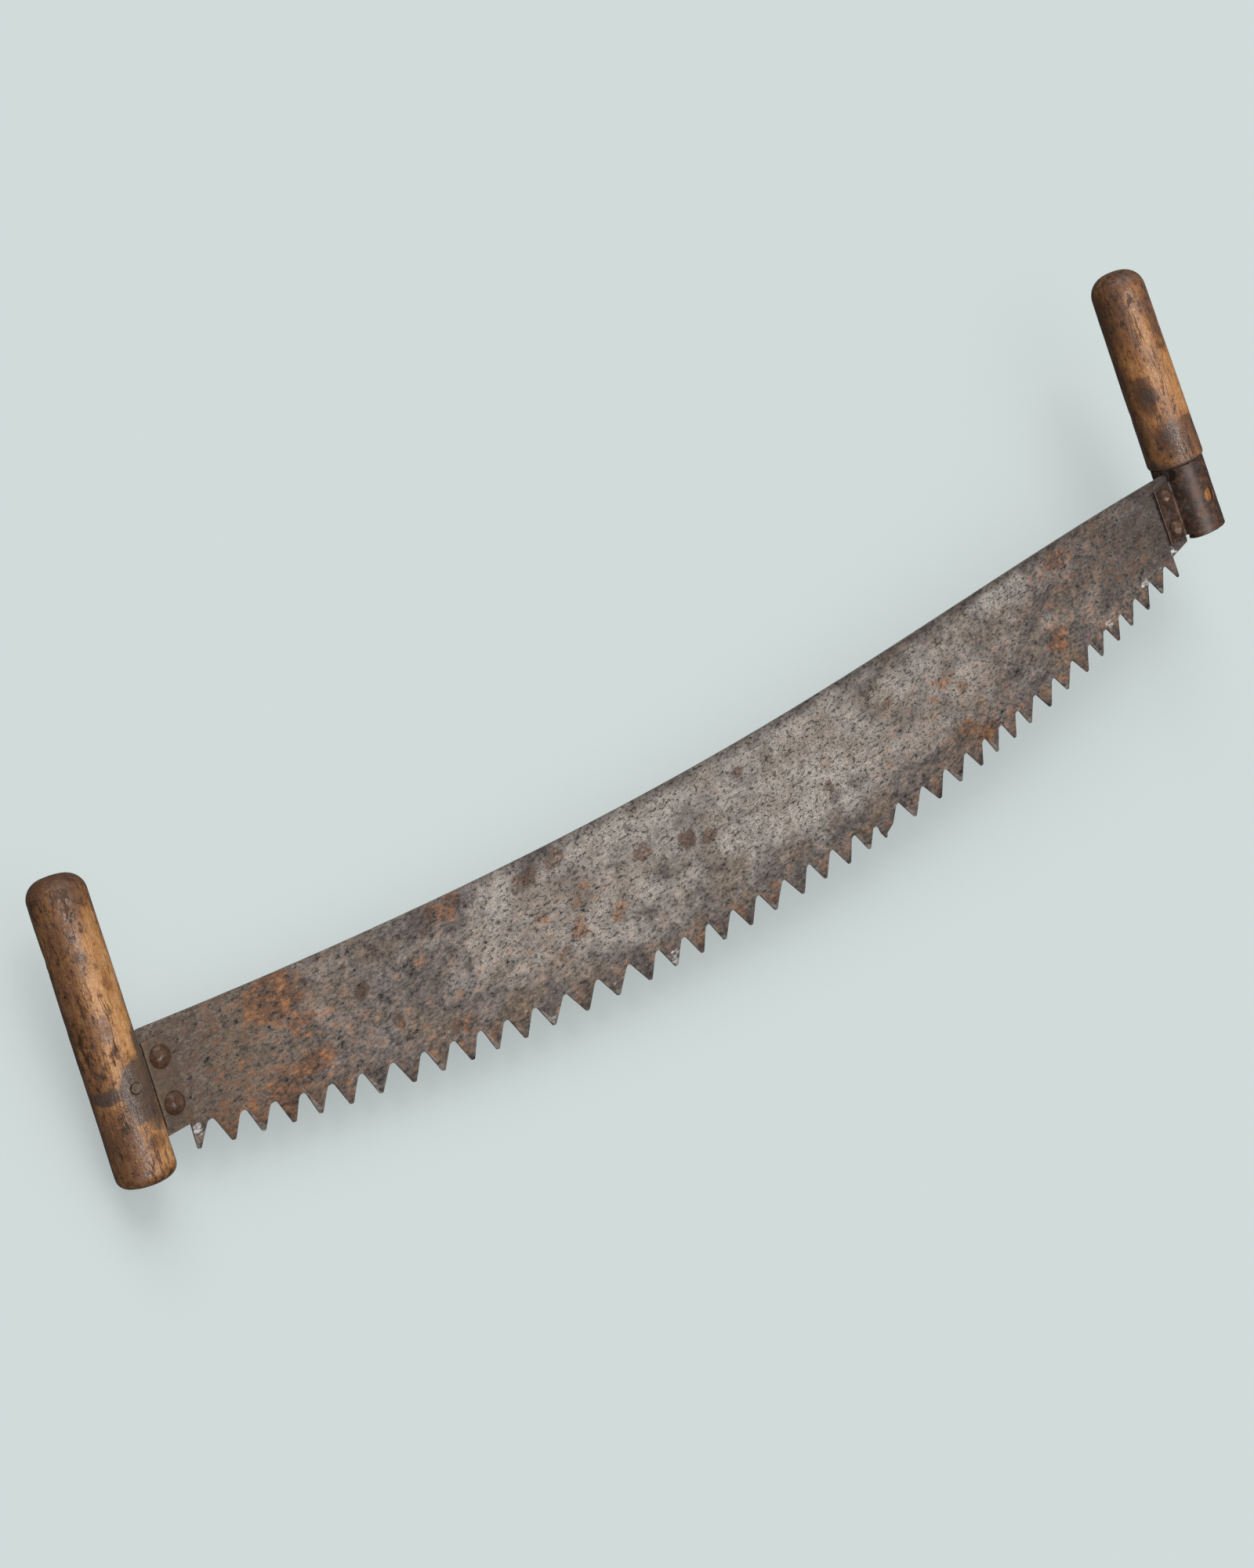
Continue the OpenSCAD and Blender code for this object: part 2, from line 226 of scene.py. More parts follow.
class Finish(NodeTree):
    """A material whose coordinates are millimetres on the saw."""

    START_STEP = (1.0, 2.7, -1.3)
    SPOT_RIM, SPOT_CORE = 1.5, 0.1

    def __init__(self, name, **constants):
        self.material = bpy.data.materials.new(name)
        self.material.use_nodes = True
        super().__init__(self.material.node_tree)
        self.shader = self.tree.nodes["Principled BSDF"]
        for socket, value in constants.items():
            self.shader.inputs[socket.replace("_", " ")].default_value = value

    def place(self, origin=(0.0, 0.0, 0.0), turn=0.0):
        """Millimetres from `origin`, with the Y axis turned to run up a handle."""
        points = self.node("ShaderNodeTexCoord", {}, {}, "Object")
        sockets = {"Vector": points, "Location": origin, "Rotation": (0.0, 0.0, turn)}
        sockets["Scale"] = (MM, MM, MM)
        return self.node("ShaderNodeMapping", {"vector_type": "TEXTURE"}, sockets)

    def parts(self, where):
        """The X, Y and Z of a vector."""
        split = self.node("ShaderNodeSeparateXYZ", {}, {0: where})
        outs = split.socket.node.outputs
        return tuple(Tone(self, out) for out in outs)

    def join(self, x, y, z):
        """A vector from its X, Y and Z."""
        return self.node("ShaderNodeCombineXYZ", {}, {0: x, 1: y, 2: z})

    def cells(self, where, size, stretch=EVEN, start=0.0):
        """Coordinates in which a feature of `size` millimetres is one unit long."""
        scale = tuple(1.0 / (size * part) for part in stretch)
        shift = tuple(step * start for step in self.START_STEP)
        return self.vector("MULTIPLY_ADD", where, scale, shift)

    def mottle(self, where, size, stretch=EVEN, start=0.0, detail=3.0, rough=0.55):
        """Cloudy noise from 0 to 1."""
        sockets = {"Vector": self.cells(where, size, stretch, start), "Scale": 1.0}
        sockets.update({"Detail": detail, "Roughness": rough})
        return self.node("ShaderNodeTexNoise", {}, sockets)

    def wander(self, where, size, reach):
        """The same coordinates pushed about, so that the marks on them get ragged edges."""
        sockets = {"Vector": self.cells(where, size), "Scale": 1.0, "Detail": 4.0}
        push = self.node("ShaderNodeTexNoise", {}, sockets, "Color")
        half = (-reach * 0.5,) * 3
        return self.vector("ADD", where, self.vector("MULTIPLY_ADD", push, (reach,) * 3, half))

    def spots(self, where, marks):
        """The strongest of several soft spots, each (centre, half widths, strength)."""
        shares = []
        for centre, reach, strength in marks:
            scale = tuple(1.0 / part for part in reach)
            shift = tuple(-c / part for c, part in zip(centre, reach))
            away = self.vector("MULTIPLY_ADD", where, scale, shift)
            far = self.vector("DOT_PRODUCT", away, away)
            shares.append(far.band(self.SPOT_RIM, self.SPOT_CORE, 0.0, strength))
        return functools.reduce(Tone.higher, shares)

    def feed(self, **tones):
        """Links what changes over the surface to the shader."""
        for name, tone in tones.items():
            self.tree.links.new(tone.socket, self.shader.inputs[name.replace("_", " ")])

    def bump(self, height, depth):
        """Feeds a height of 0 to 1, `depth` millimetres deep, to the shader's normal."""
        sockets = {"Strength": 1.0, "Distance": depth * MM, "Height": height}
        self.feed(Normal=self.node("ShaderNodeBump", {}, sockets))


# ---------------------------------------------------------------- finishes

# Marks on the blade: middle (along, up), half widths and strength, in millimetres in the
# saw's own frame.
BLADE_RUST = [
    ((-422, -21), (30, 20), 1.0), ((-408, -46), (14, 11), 0.8), ((-434, -76), (18, 22), 0.8),
    ((-412, -69), (24, 10), 0.9), ((-316, -49), (12, 8), 0.5), ((-297, -97), (13, 6), 0.7),
    ((-282, -26), (18, 9), 0.8), ((-184, -84), (11, 9), 0.9), ((-150, -89), (9, 7), 0.7),
    ((147, -59), (12, 4), 0.6), ((166, -65), (11, 4), 0.6), ((208, -67), (16, 7), 0.8),
    ((192, -75), (7, 5), 0.6), ((224, -77), (10, 7), 0.7), ((216, -107), (15, 7), 0.8),
    ((236, -117), (14, 8), 1.0), ((364, -30), (26, 10), 0.8), ((412, -19), (13, 5), 0.6),
    ((338, -85), (16, 12), 0.9), ((-430, -55), (95, 60), 0.36), ((200, -85), (110, 40), 0.34),
    ((380, -55), (80, 45), 0.4), ((-200, -75), (70, 32), 0.3), ((-300, -70), (60, 40), 0.22),
    ((60, -45), (30, 12), 0.34),
]
BLADE_BROWN = [
    ((-360, -46), (7, 7), 0.9), ((-342, -74), (6, 6), 0.8), ((-214, -37), (16, 8), 0.9),
    ((-187, -35), (11, 7), 0.9), ((-213, -63), (8, 6), 0.8), ((-202, -93), (8, 6), 0.7),
    ((-115, -62), (8, 6), 0.9), ((-74, -70), (9, 8), 1.0), ((-53, -76), (9, 7), 1.0),
    ((-12, -48), (8, 6), 0.8), ((71, -74), (8, 7), 0.9), ((64, -90), (7, 6), 0.8),
    ((463, -48), (12, 6), 0.8), ((-172, -63), (20, 13), 0.5), ((-43, -49), (14, 10), 0.4),
    ((420, -64), (22, 10), 0.6), ((-490, -40), (70, 70), 0.5), ((480, -40), (85, 60), 0.5),
]
BLADE_DARK = [
    ((-302, -25), (15, 9), 0.9), ((-278, -67), (7, 6), 0.8), ((-61, -97), (7, 5), 0.8),
    ((-101, -80), (7, 6), 0.8), ((-120, -43), (5, 5), 1.0), ((10, -34), (9, 6), 0.7),
    ((68, -99), (9, 6), 0.8), ((95, -98), (14, 6), 0.8), ((208, -115), (13, 8), 0.8),
    ((230, -26), (9, 6), 0.8), ((406, -79), (11, 8), 0.8), ((441, -43), (75, 34), 0.6),
    ((-530, -25), (80, 80), 0.6), ((520, -40), (75, 60), 0.8), ((40, -38), (170, 8), 0.35),
]
BLADE_BRIGHT = [
    ((-239, -62), (40, 40), 0.8), ((56, -45), (45, 14), 1.1), ((58, -80), (95, 38), 1.0),
    ((164, -50), (45, 12), 0.95), ((276, -30), (25, 9), 0.75), ((303, -31), (32, 11), 0.75),
    ((-20, -70), (300, 60), 0.62), ((-130, -80), (120, 45), 0.7), ((170, -75), (120, 40), 0.65),
    ((335, -60), (90, 45), 0.3),
]
BLADE_BARE = [
    ((402, -96), (6, 4), 0.7), ((455, -83), (6, 4), 0.8), ((479, -79), (5, 3), 0.6),
    ((498, -72), (5, 4), 0.8), ((-499, -69), (5, 5), 0.8), ((-388, -91), (5, 3), 0.4),
    ((-245, -112), (5, 4), 0.4), ((-228, -128), (5, 4), 0.5), ((-172, -131), (4, 4), 0.5),
    ((-139, -132), (4, 4), 0.5), ((-116, -137), (5, 7), 0.7),
]


def flat_marks(marks):
    """Marks on the blade's flat, as spots that don't reach through it."""
    return [((*centre, 0.0), (*reach, 1.0), strength) for centre, reach, strength in marks]


def quartic(x, factors):
    """A polynomial of a tone, highest power first."""
    total = float(factors[0])
    for factor in factors[1:]:
        total = x * total + float(factor)
    return total


def painted_ear_shadow(skin, where):
    """A painted shadow line on the blade, 1 where it meets the socket's ear and 0 away from it.
    """
    ease, line_end, line_start = 1.0, 2.6, 0.4
    out = Vector((GRIP_UP.y, -GRIP_UP.x, 0.0))
    points = node_points("right_socket") / MM
    reach = points @ np.array(out)
    up = (points @ np.array(GRIP_UP))[reach < reach.min() + ease]
    away = float(reach.min()) - skin.vector("DOT_PRODUCT", where, tuple(out))
    along = skin.vector("DOT_PRODUCT", where, tuple(GRIP_UP))
    low, high = float(up.min()), float(up.max())
    inside = along.band(low - ease, low + ease) * along.band(high + ease, high - ease)
    return away.band(line_end, line_start) * inside


def blade_steel(colours):
    """Old plate: silvery pitted middle, purple-brown patina, rust blooms and bare tips."""
    skin = Finish("blade_steel", Specular_IOR_Level=0.4)
    where = skin.place()
    x, y, z = skin.parts(where)
    face = (z > 0.5 * (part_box("blade")[0].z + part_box("blade")[1].z) / MM) * 2.0 - 1.0
    # The back is finished like the front, mirrored and with other noise.
    flat = skin.join(x * face, y, face * 3.0)
    ragged = skin.wander(skin.wander(skin.join(x * face, y, 0.0), 9.0, 13.0), 2.4, 5.0)
    marked = skin.vector("MULTIPLY", ragged, (1.0, 1.0, 0.0))

    def blooms(marks):
        """The marks of one kind, with ragged edges."""
        return skin.spots(marked, flat_marks(marks))

    # Noise, from the widest to the finest, a little longer along the blade than across it.
    cloud = skin.mottle(flat, 60.0, (1.6, 1.0, 1.0), start=3.0)
    film = skin.mottle(flat, 24.0, (1.4, 1.0, 1.0), start=21.0, detail=2.0)
    patch = skin.mottle(flat, 18.0, (1.5, 1.0, 1.0), start=11.0)
    smear = skin.mottle(flat, 6.5, (1.4, 1.0, 1.0), start=41.0, detail=2.0)
    scab = skin.mottle(flat, 5.5, (1.3, 1.0, 1.0), start=47.0, detail=2.0)
    hollow = skin.mottle(flat, 5.0, (1.5, 1.0, 1.0), start=53.0, detail=5.0, rough=0.72)
    fleck = skin.mottle(flat, 4.5, (1.6, 1.0, 1.0), start=5.0, detail=4.0, rough=0.62)
    worm = skin.mottle(flat, 2.0, (1.9, 1.0, 1.0), start=8.0, detail=2.0)
    speck = skin.mottle(flat, 0.9, (1.3, 1.0, 1.0), start=2.0, detail=2.0, rough=0.6)

    # Bands along the two edges, in millimetres from them, and noise from tooth to tooth.
    back_line, tip_line = blade_edges()
    below_back = quartic(x, back_line) - y
    above_tips = y - quartic(x, tip_line)
    skirt = above_tips.band(60.0, 15.0)
    root = above_tips.band(30.0, 8.0)
    tip = above_tips.band(13.0, 1.0)
    along = skin.mottle(skin.join(x, 0.0, face * 5.0), 17.0, start=9.0, detail=1.0)

    # Patina, rubbed to silver in the middle.
    bright = blooms(BLADE_BRIGHT) + cloud.swing(1.1)
    bright = (bright + patch.swing(1.6) - skirt * 0.25).band(-0.05, 1.45)
    base = skin.mix(patch.band(0.35, 0.65), colours.patina_dark, colours.patina)
    base = skin.mix(bright, base, colours.steel)

    # A tan film, thickest at the left end, and old brown spots.
    film = film.band(0.42, 0.68) * (0.42 + skirt * 0.22)
    film = film.higher(x.band(-350.0, -470.0, 0.0, 0.6))
    base = skin.mix(film, base, colours.rust_tan)
    brown = blooms(BLADE_BROWN) + scab.swing(1.4)
    brown = (brown + fleck.swing(1.4) + worm.swing(0.6)).band(0.35, 0.85, 0.0, 0.8)
    base = skin.mix(brown, base, colours.rust_brown)

    # Rust blooms, and rust at the roots of the teeth.
    rust = blooms(BLADE_RUST) + smear.swing(1.4)
    rust = rust + patch.swing(0.6) + root * (along.swing(1.6) + 0.42) + fleck.swing(1.7)
    rust = rust.band(0.15, 1.05, 0.0, 0.85)
    fresh = (scab * 0.45 + fleck * 0.55).band(0.44, 0.68)
    base = skin.mix(rust, base, skin.mix(fresh, colours.rust_red, colours.rust_orange))

    # Black stains, the grimy back edge, gullets, pits, tips and a painted ear shadow.
    stain = (blooms(BLADE_DARK) + fleck.swing(1.4)).band(0.25, 0.95, 0.0, 0.55)
    rim = below_back.band(9.0, 1.0) * x.band(-220.0, -80.0, 0.35, 1.0) * fleck.band(0.3, 0.6)
    gullet = root * along.band(0.55, 0.4) * 0.45
    pit = (hollow + smear.swing(0.3)).band(0.35, 0.24) * 0.36
    point = tip * (0.3 + along * 0.6)
    dark = stain.higher(rim * 0.7).higher(gullet).higher(pit).higher(point)
    # Painted shadow on the blade along the edge of the socket's ear.
    dark = dark.higher(painted_ear_shadow(skin, where) * 0.8)
    base = skin.mix(dark, base, colours.patina_black)

    # Painted light and shade of the rough skin, from much the same noise as its bumps.
    ridge = worm.vein(0.09)
    painted_relief_shade = speck.swing(1.1) + worm.swing(1.3) + fleck.swing(1.0)
    painted_relief_shade = painted_relief_shade + (ridge - 0.3) * bright * 0.8
    painted_relief_shade = painted_relief_shade + (smear.swing(0.7) + scab.swing(0.6)) * (1.0 - bright * 0.7)
    contrast = 1.75 - bright * 0.6
    base = skin.mix(1.0, base, painted_relief_shade * contrast + 1.0, "MULTIPLY")

    # Pale crust and painted highlight, bare spots, and the steel of filed bevels and plate edges.
    crust_and_highlight = (fleck * 0.5 + worm * 0.35 + patch * 0.25).band(0.56, 0.74, 0.0, 0.75) * bright
    base = skin.mix(crust_and_highlight * (1.0 - rust), base, colours.crust_and_highlight)
    bare = fleck * 0.5 + worm * 0.5 + blooms(BLADE_BARE) * 0.42
    base = skin.mix(bare.band(0.7, 1.0, 0.0, 0.85), base, colours.bare_steel)
    _, _, facing = skin.parts(skin.node("ShaderNodeNewGeometry", {}, {}, "True Normal"))
    bevel = abs(facing).band(0.985, 0.93, 0.0, 0.3)
    filed = bevel.higher(abs(facing).band(0.6, 0.3, 0.0, 0.6))
    base = skin.mix(filed * fleck.band(0.35, 0.6), base, colours.steel)

    skin.feed(
        Base_Color=base,
        Roughness=0.5 + rust * 0.3 + brown * 0.1 - bright * 0.1 + fleck.swing(0.4),
        Metallic=(0.25 + bright * 0.35) * (1.0 - rust) * (1.0 - brown * 0.7),
    )
    height = ridge * bright * 0.25 + worm * 0.3 + fleck * 0.8 + rust * scab * 0.4 - pit * 0.4
    skin.bump(height, 0.4)
    return skin.material


# Marks on the two handles: middle (to the right of the axis, up, forward), half widths and
# strength, in millimetres from the bar's foot and from the grip's shoulder.
BAR_STAIN = [
    ((3, 55, 17), (13, 20, 10), 1.5), ((13, 70, 12), (8, 24, 10), 1.2),
    ((-14, 57, 8), (15, 5, 15), 0.9), ((8, 38, 16), (9, 11, 9), 0.8),
]
# Grime spots and bands; the long marks down the left side are painted shade.
BAR_DARK_AND_SHADE = [
    ((-9, 139, 16), (5, 5, 6), 1.0), ((-17, 98, 3), (6, 13, 9), 0.6),
    ((-15, 90, -13), (13, 110, 13), 0.6), ((0, 188, 0), (32, 30, 32), 0.8),
    ((0, -5, 0), (30, 14, 30), 0.9), ((-9, 160, 14), (7, 8, 8), 0.5),
    ((3, 118, 19), (4, 9, 5), 0.5), ((-13, 20, 12), (6, 9, 8), 0.6),
    ((-8, 96, 16), (6, 9, 8), 0.6), ((4, 24, 18), (9, 5, 8), 0.7),
    ((-12, 22, 9), (11, 30, 14), 0.6), ((-12, 150, 10), (9, 32, 12), 0.6),
    ((-15, 110, 9), (8, 80, 9), 0.4),
]
BAR_GOLD = [
    ((-4, 128, 18), (14, 32, 12), 0.4), ((-6, 85, 17), (13, 20, 10), 0.4),
    ((9, 22, 16), (9, 16, 10), 1.0), ((6, 150, 17), (8, 22, 9), 0.3),
    ((8, 115, 17), (8, 62, 9), 0.8),
]
# A dark ring at the shoulder, iron stain spots, and painted shadow with grime on the tenon.
GRIP_STAIN_AND_SHADE = [
    ((0, 1, 0), (40, 4, 40), 0.7), ((-18, 62, 10), (7, 9, 8), 0.6),
    ((-14, 25, 15), (8, 10, 8), 0.5), ((-18, -12, 0), (15, 22, 16), 1.2),
]
# Grime spots; the long mark down the left underside is painted shade.
GRIP_DARK_AND_SHADE = [
    ((-18, 70, -14), (15, 110, 16), 0.25), ((-20, 62, 8), (8, 16, 10), 1.0),
    ((0, 20, 18), (24, 18, 18), 0.7), ((4, 112, 20), (9, 24, 9), 0.6),
    ((-20, 115, 8), (8, 26, 10), 0.3), ((0, 142, 8), (34, 36, 30), 0.5),
    ((-16, 22, 13), (12, 15, 12), 0.9),
]
GRIP_GOLD = [
    ((2, 72, 21), (13, 18, 12), 0.75), ((6, 47, 20), (10, 13, 10), 0.9),
    ((-16, 75, 14), (8, 12, 9), 0.7), ((19, 105, 10), (7, 26, 10), 0.6),
    ((-11, 118, 18), (5, 28, 8), 0.8), ((-4, 140, 18), (9, 8, 9), 0.5),
    ((0, -25, 18), (12, 12, 12), 0.3), ((-21, 70, 4), (9, 62, 13), 0.4),
]


def handle_wood(name, tones, stain, origin, up, marks):
    """Hand-worn wood: long grain, crazed polish, grime in dents, iron stain and painted shade."""
    deep, smoked, middle, light, pale = tones
    dark_and_shade_marks, gold_marks, stain_and_shade_marks = marks
    wood = Finish(name, Specular_IOR_Level=0.55)
    where = wood.place(origin, axis_turn(up))
    ragged = wood.wander(where, 7.0, 9.0)
    grain_place = wood.wander(where, 24.0, 5.0)

    fibre = wood.mottle(grain_place, 0.8, (1.0, 18.0, 1.0), start=3.0, detail=4.0, rough=0.6)
    ring = wood.mottle(grain_place, 3.4, (1.0, 13.0, 1.0), start=7.0)
    patch = wood.mottle(where, 11.0, (1.0, 1.7, 1.0), start=2.0, detail=6.0, rough=0.66)
    fleck = wood.mottle(where, 3.2, (1.0, 1.7, 1.0), start=5.0, detail=5.0, rough=0.7)
    scuff = wood.mottle(where, 1.1, (1.6, 1.0, 1.0), start=13.0, detail=2.0)

    # The wood's browns, from grimy to worn pale.
    gold = wood.spots(ragged, gold_marks)
    # Dark marks: grime, and down the handle's left side painted shade.
    dark = wood.spots(ragged, dark_and_shade_marks)
    tone = ring * 0.3 + patch * 0.4 + fibre * 0.3 + fleck.swing(0.85) + gold * 0.17
    tone = tone - dark * 0.17
    base = wood.mix(tone.band(0.3, 0.46), deep, middle)
    base = wood.mix(tone.band(0.43, 0.58), base, light)
    base = wood.mix((tone + scuff.swing(0.3)).band(0.6, 0.78), base, pale)

    # Smoky polish, and scratches along and across the grain that show light wood.
    smoke = wood.mottle(ragged, 16.0, (1.0, 1.5, 1.0), start=19.0) + dark * 0.2 - gold * 0.16
    smoke = (smoke + fleck.swing(0.9)).band(0.42, 0.7, 0.0, 0.6)
    base = wood.mix(smoke, base, smoked)
    scratch_place = wood.wander(where, 6.0, 5.0)
    scratch = wood.mottle(scratch_place, 0.7, (1.0, 6.0, 1.0), start=31.0, detail=1.0)
    across = wood.mottle(where, 0.7, (6.0, 1.2, 6.0), start=43.0, detail=1.0)
    scratch = (scratch.higher(across) + patch.swing(0.25)).band(0.66, 0.76, 0.0, 0.65)
    base = wood.mix(scratch, base, light)

    # Splits along the grain, crazed polish, grime, and the stain of the iron over them.
    split = wood.mottle(grain_place, 6.0, (1.0, 14.0, 1.0), start=17.0).vein(0.018)
    split = split * wood.mottle(where, 20.0, (1.0, 2.0, 1.0), start=23.0).band(0.46, 0.58)
    craze_place = wood.wander(where, 3.0, 2.4)
    craze = wood.mottle(craze_place, 3.6, (1.0, 1.6, 1.0), start=29.0, detail=1.0).vein(0.026)
    craze = craze * wood.mottle(where, 13.0, (1.0, 1.5, 1.0), start=37.0).band(0.42, 0.56)
    crack = split.higher(craze * 0.4)
    grime = (patch * 0.65 + fleck * 0.35).band(0.45, 0.35)
    grime = grime.higher(dark * fleck.band(0.42, 0.56) * 0.8)
    base = wood.mix((crack * 0.85).higher(grime * 0.65), base, deep)
    # Iron stain, and on the grip's tenon inside the socket painted shadow too.
    iron = wood.spots(ragged, stain_and_shade_marks) * 0.3 + patch * 0.5 + fleck * 0.5
    iron = iron.band(0.56, 0.76, 0.0, 0.88)
    base = wood.mix(iron, base, stain)

    wood.feed(
        Base_Color=base,
        Roughness=0.27 + grime * 0.25 + crack * 0.3 + fleck.swing(0.5) - iron * 0.03,
    )
    height = fibre * 0.2 + fleck * 1.2 + patch * 0.8 - crack * 0.5 - grime * 0.2 + scuff * 0.45
    wood.bump(height, 0.6)
    return wood.material


def rusted_iron(name, colours, rubbed_and_sheen_marks, sheen, film=None):
    """Forged iron: dark scale, red-brown rust, orange flecks and edges rubbed to grey.

    A film is the share and the colour of a thin skin over the rust.
    """
    iron = Finish(name, Specular_IOR_Level=0.45)
    where = iron.place()
    ragged = iron.wander(where, 5.0, 6.0)
    patch = iron.mottle(ragged, 12.0, start=6.0, rough=0.6)
    scale = iron.mottle(ragged, 9.0, start=18.0, detail=2.0)
    fleck = iron.mottle(where, 3.4, start=9.0, detail=5.0, rough=0.66)
    grit = iron.mottle(where, 0.9, start=12.0, detail=2.0)

    brown = (patch * 0.6 + fleck * 0.4).band(0.38, 0.6)
    base = iron.mix(brown, colours.iron_dark, colours.iron_brown)
    base = iron.mix(scale.band(0.52, 0.66, 0.0, 0.65), base, colours.iron_grey)
    orange = (patch * 0.55 + fleck * 0.45).band(0.5, 0.68, 0.0, 0.7)
    base = iron.mix(orange, base, colours.iron_orange)
    if film:
        share, film_colour = film
        base = iron.mix(share, base, film_colour)
    # Painted light and shade of the scale's relief, from the same noise as its bumps.
    painted_relief_shade = fleck.swing(1.3) + grit.swing(0.9) + 1.0
    base = iron.mix(1.0, base, painted_relief_shade, "MULTIPLY")
    edge = iron.node("ShaderNodeNewGeometry", {}, {}, "Pointiness")
    worn = (edge + fleck.swing(0.05)).band(0.52, 0.58, 0.0, 0.7)
    # Grey spots at the given marks: rubbed metal, on the socket partly a painted sheen.
    if rubbed_and_sheen_marks:
        rubbed_and_sheen = iron.spots(ragged, rubbed_and_sheen_marks) + fleck.swing(0.8) + grit.swing(0.4)
        worn = worn.higher(rubbed_and_sheen.band(0.4, 1.0, 0.0, 0.6))
    base = iron.mix(worn, base, colours.iron_worn)

    iron.feed(
        Base_Color=base,
        Roughness=0.6 - sheen + orange * 0.15 - worn * 0.15 + fleck.swing(0.3),
        Metallic=0.15 + worn * 0.45,
    )
    iron.bump(fleck * 0.8 + grit * 0.2 + patch * 0.4, 0.4)
    return iron.material


def floor_paper(stage):
    """Pale matt studio paper with a hardly visible tooth."""
    paper = Finish("floor_paper", Specular_IOR_Level=0.1)
    where = paper.place()
    tooth = paper.mottle(where, 1.5, detail=2.0)
    cloud = paper.mottle(where, 400.0, detail=2.0)
    shade = 0.985
    shaded = tuple(shade * part for part in stage.floor_colour)
    base = paper.mix(tooth * 0.5 + cloud * 0.5, shaded, tuple(stage.floor_colour))
    paper.feed(Base_Color=base, Roughness=0.9 + tooth * 0.08)
    return paper.material


# ---------------------------------------------------------------- worn pieces

# The narrowest and the widest dent in each kind of piece, in metres.
WOOD_DENTS = (0.0015, 0.006)
SOCKET_DENTS = (0.001, 0.004)
PLATE_DENTS = (0.0008, 0.0025)
RIVET_DENTS = (0.0007, 0.002)
PIN_DENTS = (0.0006, 0.0015)

# How often each kind of piece is smoothed after it is meshed.
WOOD_EASING, SOCKET_EASING, PLATE_EASING, RIVET_EASING = 4, 4, 5, 3

# Each dent's depth as a share of the deepest.
DENT_DEPTHS = (0.3, 1.0)

# Hammer flats on each end of a rivet: how many, how far they lean and how deep they cut.
FLATS = 7
FLAT_LEANS = (0.1, 1.0)
FLAT_CUTS = (0.4, 1.0)


class Wave(NamedTuple):
    """Rolling wear: how long and how deep its waves are, in metres, and its seed."""

    size: float
    depth: float
    seed: float


class Knocks(NamedTuple):
    """Small dents: how many, their seed, their widths and the deepest, in metres."""

    count: int
    seed: int
    widths: tuple
    deepest: float


def remeshed(node, name, voxel, easing):
    """A new object with an even, eased mesh over the same solid as a CAD node."""
    shape = bmesh.new()
    shape.from_mesh(frame["nodes"][node].data)
    bmesh.ops.remove_doubles(shape, verts=shape.verts, dist=0.001 * MM)
    mesh = bpy.data.meshes.new(name)
    shape.to_mesh(mesh)
    shape.free()
    piece = bpy.data.objects.new(name, mesh)
    bpy.context.scene.collection.objects.link(piece)
    remesh = piece.modifiers.new("even", "REMESH")
    remesh.mode = "VOXEL"
    remesh.voxel_size = voxel
    ease = piece.modifiers.new("ease", "SMOOTH")
    ease.factor = 0.5
    ease.iterations = easing
    settled = piece.evaluated_get(bpy.context.evaluated_depsgraph_get())
    even = bpy.data.meshes.new_from_object(settled)
    piece.modifiers.clear()
    piece.data = even
    even.name = name
    bpy.data.meshes.remove(mesh)
    if not even.vertices:
        raise RuntimeError(f"{node} could not be remeshed")
    even.shade_smooth()
    return piece


def mesh_points(piece):
    """The piece's corners and their normals, as arrays."""
    count = len(piece.data.vertices) * 3
    points, normals = np.empty(count), np.empty(count)
    piece.data.vertices.foreach_get("co", points)
    piece.data.vertex_normals.foreach_get("vector", normals)
    return points.reshape(-1, 3), normals.reshape(-1, 3)


def rolling(points, size, seed):
    """Smooth noise from 0 to 1 at each point, with waves about `size` long."""
    shift = Vector((seed * 3.1, seed * -1.7, seed * 0.9))
    return np.array([0.5 + 0.5 * noise.noise(Vector(p) / size + shift) for p in points])


def dents(points, knocks):
    """The depth of small knocks at seeded places."""
    draw = random.Random(knocks.seed)
    depth = np.zeros(len(points))
    for _ in range(knocks.count):
        middle = points[draw.randrange(len(points))]
        width = draw.uniform(*knocks.widths)
        near = ((points - middle) ** 2).sum(axis=1) / width**2
        deepest = draw.uniform(*DENT_DEPTHS) * knocks.deepest
        depth = np.maximum(depth, deepest * np.clip(1.0 - near, 0.0, 1.0) ** 2)
    return depth


def wear_down(piece, waves, knocks):
    """Moves the surface inwards by rolling wear and small dents."""
    points, normals = mesh_points(piece)
    depth = dents(points, knocks)
    for wave in waves:
        depth += wave.depth * rolling(points, wave.size, wave.seed)
    moved = points - normals * depth[:, None]
    piece.data.vertices.foreach_set("co", moved.ravel())
    piece.data.update()


def hammer(piece, middle, seed, depth):
    """Cuts flats on both domed ends of a rivet, as a hammer leaves them."""
    points, _ = mesh_points(piece)
    draw = random.Random(seed)
    for end in (1.0, -1.0):
        for _ in range(FLATS):
            lean, around = draw.uniform(*FLAT_LEANS), draw.uniform(0.0, 2.0 * math.pi)
            out = math.sin(lean)
            facing = (out * math.cos(around), out * math.sin(around), end * math.cos(lean))
            reach = (points - middle) @ np.array(facing)
            level = reach.max() - depth * draw.uniform(*FLAT_CUTS)
            over = np.clip(reach - level, 0.0, None)
            points = points - over[:, None] * np.array(facing)
    piece.data.vertices.foreach_set("co", points.ravel())
    piece.data.update()


def fit_piece(piece, node, body, material):
    """Puts a finished piece in its node's place."""
    piece.data.materials.clear()
    piece.data.materials.append(material)
    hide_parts(node)
    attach(piece, body)


